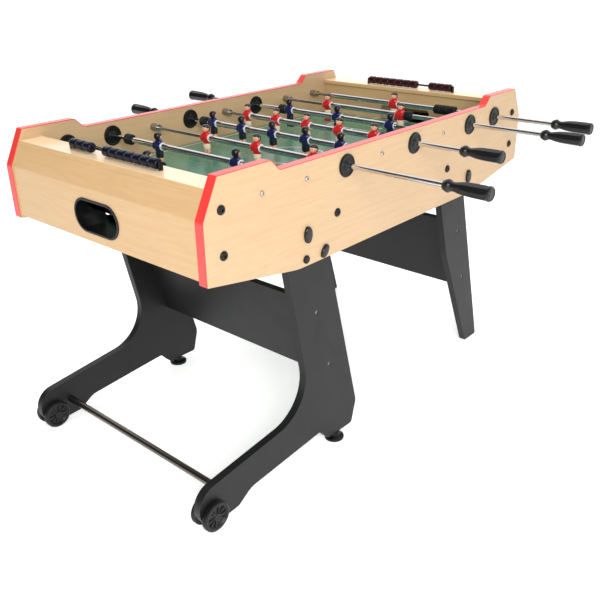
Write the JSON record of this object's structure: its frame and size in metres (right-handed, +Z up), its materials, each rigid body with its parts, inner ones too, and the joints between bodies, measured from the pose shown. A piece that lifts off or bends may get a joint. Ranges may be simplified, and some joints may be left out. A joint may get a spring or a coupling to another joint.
{
  "type": "foosball table",
  "caption": "Folding foosball table: wooden cabinet with sliding player rods, bead scorers, and two folding leg frames, one with wheels.",
  "frame": {"origin": "on the floor under the centre of the table's bounding box", "axes": "+X along the pitch from the wheeled legs to the plain legs, +Y across the pitch along the rods, towards the handles of the dark blue team, +Z up"},
  "size_m": [1.4394, 1.4574, 0.877],
  "materials": {
    "maple_board": "pale maple laminate, satin lacquer",
    "deck_board": "paler maple laminate, satin lacquer",
    "red_edging": "glossy red edge moulding",
    "field_board": "printed green playing surface, glossy",
    "inner_wood": "plain softwood",
    "black_board": "black satin coated board",
    "rod_chrome": "polished chrome plated tube",
    "guide_steel": "bright drawn steel",
    "nickel": "nickel plated screw heads",
    "black_steel": "black oxide fasteners",
    "black_plastic": "moulded black plastic",
    "grip_plastic": "smooth black handle",
    "wheel_plastic": "hard black plastic wheel",
    "bumper_rubber": "black rubber",
    "man_red": "painted moulded figure, red shirt",
    "man_blue": "painted moulded figure, dark blue shirt",
    "bead_navy": "dark blue bead",
    "bead_red": "dark red bead"
  },
  "bodies": {
    "cabinet": {"side_panel_near": "maple_board", "side_panel_far": "maple_board", "edge_trim": "red_edging", "end_panels": "maple_board", "end_decks": "deck_board", "goal_walls": "maple_board", "ball_cups": "black_plastic", "playfield": "field_board", "inner_battens": "inner_wood", "panel_bolts": "black_steel", "rod_bearings": "black_plastic", "guide_rods": "guide_steel", "guide_screws": "nickel", "scorer_rails": "black_plastic", "leg_pivots": "black_steel", "leg_knobs": "black_plastic"},
    "left_leg_frame": {"left_legs": "black_board", "left_cross_panel": "black_board", "left_crossbar": "rod_chrome", "left_feet": "black_plastic"},
    "right_leg_frame": {"right_legs": "black_board", "right_cross_panel": "black_board"},
    "wheel_pair_near": {"wheels_near": "wheel_plastic"},
    "wheel_pair_far": {"wheels_far": "wheel_plastic"},
    "score_left_far": {"left_beads_far": "bead_navy"},
    "score_left_near": {"left_beads_near": "bead_navy"},
    "score_right_far": {"right_beads_far": "bead_red"},
    "score_right_near": {"right_beads_near": "bead_red"},
    "rod_1_carriage": {"rod_1_bumpers": "bumper_rubber"},
    "rod_1": {"rod_1_tube": "rod_chrome", "rod_1_men": "man_blue", "rod_1_handle": "grip_plastic"},
    "rod_2_carriage": {"rod_2_bumpers": "bumper_rubber"},
    "rod_2": {"rod_2_tube": "rod_chrome", "rod_2_men": "man_blue", "rod_2_handle": "grip_plastic"},
    "rod_3_carriage": {"rod_3_bumpers": "bumper_rubber"},
    "rod_3": {"rod_3_tube": "rod_chrome", "rod_3_men": "man_red", "rod_3_handle": "grip_plastic"},
    "rod_4_carriage": {"rod_4_bumpers": "bumper_rubber"},
    "rod_4": {"rod_4_tube": "rod_chrome", "rod_4_men": "man_blue", "rod_4_handle": "grip_plastic"},
    "rod_5_carriage": {"rod_5_bumpers": "bumper_rubber"},
    "rod_5": {"rod_5_tube": "rod_chrome", "rod_5_men": "man_red", "rod_5_handle": "grip_plastic"},
    "rod_6_carriage": {"rod_6_bumpers": "bumper_rubber"},
    "rod_6": {"rod_6_tube": "rod_chrome", "rod_6_men": "man_blue", "rod_6_handle": "grip_plastic"},
    "rod_7_carriage": {"rod_7_bumpers": "bumper_rubber"},
    "rod_7": {"rod_7_tube": "rod_chrome", "rod_7_men": "man_red", "rod_7_handle": "grip_plastic"},
    "rod_8_carriage": {"rod_8_bumpers": "bumper_rubber"},
    "rod_8": {"rod_8_tube": "rod_chrome", "rod_8_men": "man_red", "rod_8_handle": "grip_plastic"}
  },
  "joints": [
    {"name": "left_leg_fold", "type": "hinge", "parent": "cabinet", "child": "left_leg_frame", "pos_m": [-0.34875, 0.04175, 0.613], "axis": [0, 1, 0], "range_deg": [0, 90]},
    {"name": "right_leg_fold", "type": "hinge", "parent": "cabinet", "child": "right_leg_frame", "pos_m": [0.38725, 0.04175, 0.612], "axis": [0, 1, 0], "range_deg": [0, 105]},
    {"name": "wheel_near_roll", "type": "hinge", "parent": "left_leg_frame", "child": "wheel_pair_near", "pos_m": [-0.67875, 0.04175, 0.04], "axis": [0, 1, 0], "continuous": true},
    {"name": "wheel_far_roll", "type": "hinge", "parent": "left_leg_frame", "child": "wheel_pair_far", "pos_m": [-0.67875, 0.04175, 0.04], "axis": [0, 1, 0], "continuous": true},
    {"name": "score_left_far_slide", "type": "slide", "parent": "cabinet", "child": "score_left_far", "axis": [0, 1, 0], "range_m": [-0.046, 0]},
    {"name": "score_left_near_slide", "type": "slide", "parent": "cabinet", "child": "score_left_near", "axis": [0, 1, 0], "range_m": [0, 0.046]},
    {"name": "score_right_far_slide", "type": "slide", "parent": "cabinet", "child": "score_right_far", "axis": [0, 1, 0], "range_m": [-0.046, 0]},
    {"name": "score_right_near_slide", "type": "slide", "parent": "cabinet", "child": "score_right_near", "axis": [0, 1, 0], "range_m": [0, 0.046]},
    {"name": "rod_1_slide", "type": "slide", "parent": "cabinet", "child": "rod_1_carriage", "axis": [0, 1, 0], "range_m": [-0.068, 0.105]},
    {"name": "rod_1_spin", "type": "hinge", "parent": "rod_1_carriage", "child": "rod_1", "pos_m": [-0.49075, 0.04175, 0.81], "axis": [0, 1, 0], "continuous": true},
    {"name": "rod_2_slide", "type": "slide", "parent": "cabinet", "child": "rod_2_carriage", "axis": [0, 1, 0], "range_m": [-0.096, 0.063]},
    {"name": "rod_2_spin", "type": "hinge", "parent": "rod_2_carriage", "child": "rod_2", "pos_m": [-0.34275, 0.04175, 0.81], "axis": [0, 1, 0], "continuous": true},
    {"name": "rod_3_slide", "type": "slide", "parent": "cabinet", "child": "rod_3_carriage", "axis": [0, 1, 0], "range_m": [-0.032, 0.189]},
    {"name": "rod_3_spin", "type": "hinge", "parent": "rod_3_carriage", "child": "rod_3", "pos_m": [-0.19475, 0.04175, 0.81], "axis": [0, 1, 0], "continuous": true},
    {"name": "rod_4_slide", "type": "slide", "parent": "cabinet", "child": "rod_4_carriage", "axis": [0, 1, 0], "range_m": [-0.061, 0.051]},
    {"name": "rod_4_spin", "type": "hinge", "parent": "rod_4_carriage", "child": "rod_4", "pos_m": [-0.04675, 0.04175, 0.81], "axis": [0, 1, 0], "continuous": true},
    {"name": "rod_5_slide", "type": "slide", "parent": "cabinet", "child": "rod_5_carriage", "axis": [0, 1, 0], "range_m": [-0.055, 0.06]},
    {"name": "rod_5_spin", "type": "hinge", "parent": "rod_5_carriage", "child": "rod_5", "pos_m": [0.10125, 0.04175, 0.81], "axis": [0, 1, 0], "continuous": true},
    {"name": "rod_6_slide", "type": "slide", "parent": "cabinet", "child": "rod_6_carriage", "axis": [0, 1, 0], "range_m": [-0.107, 0.109]},
    {"name": "rod_6_spin", "type": "hinge", "parent": "rod_6_carriage", "child": "rod_6", "pos_m": [0.24925, 0.04175, 0.81], "axis": [0, 1, 0], "continuous": true},
    {"name": "rod_7_slide", "type": "slide", "parent": "cabinet", "child": "rod_7_carriage", "axis": [0, 1, 0], "range_m": [-0.173, 0.149]},
    {"name": "rod_7_spin", "type": "hinge", "parent": "rod_7_carriage", "child": "rod_7", "pos_m": [0.39725, 0.04175, 0.81], "axis": [0, 1, 0], "continuous": true},
    {"name": "rod_8_slide", "type": "slide", "parent": "cabinet", "child": "rod_8_carriage", "axis": [0, 1, 0], "range_m": [-0.104, 0.067]},
    {"name": "rod_8_spin", "type": "hinge", "parent": "rod_8_carriage", "child": "rod_8", "pos_m": [0.54525, 0.04175, 0.81], "axis": [0, 1, 0], "continuous": true}
  ]
}
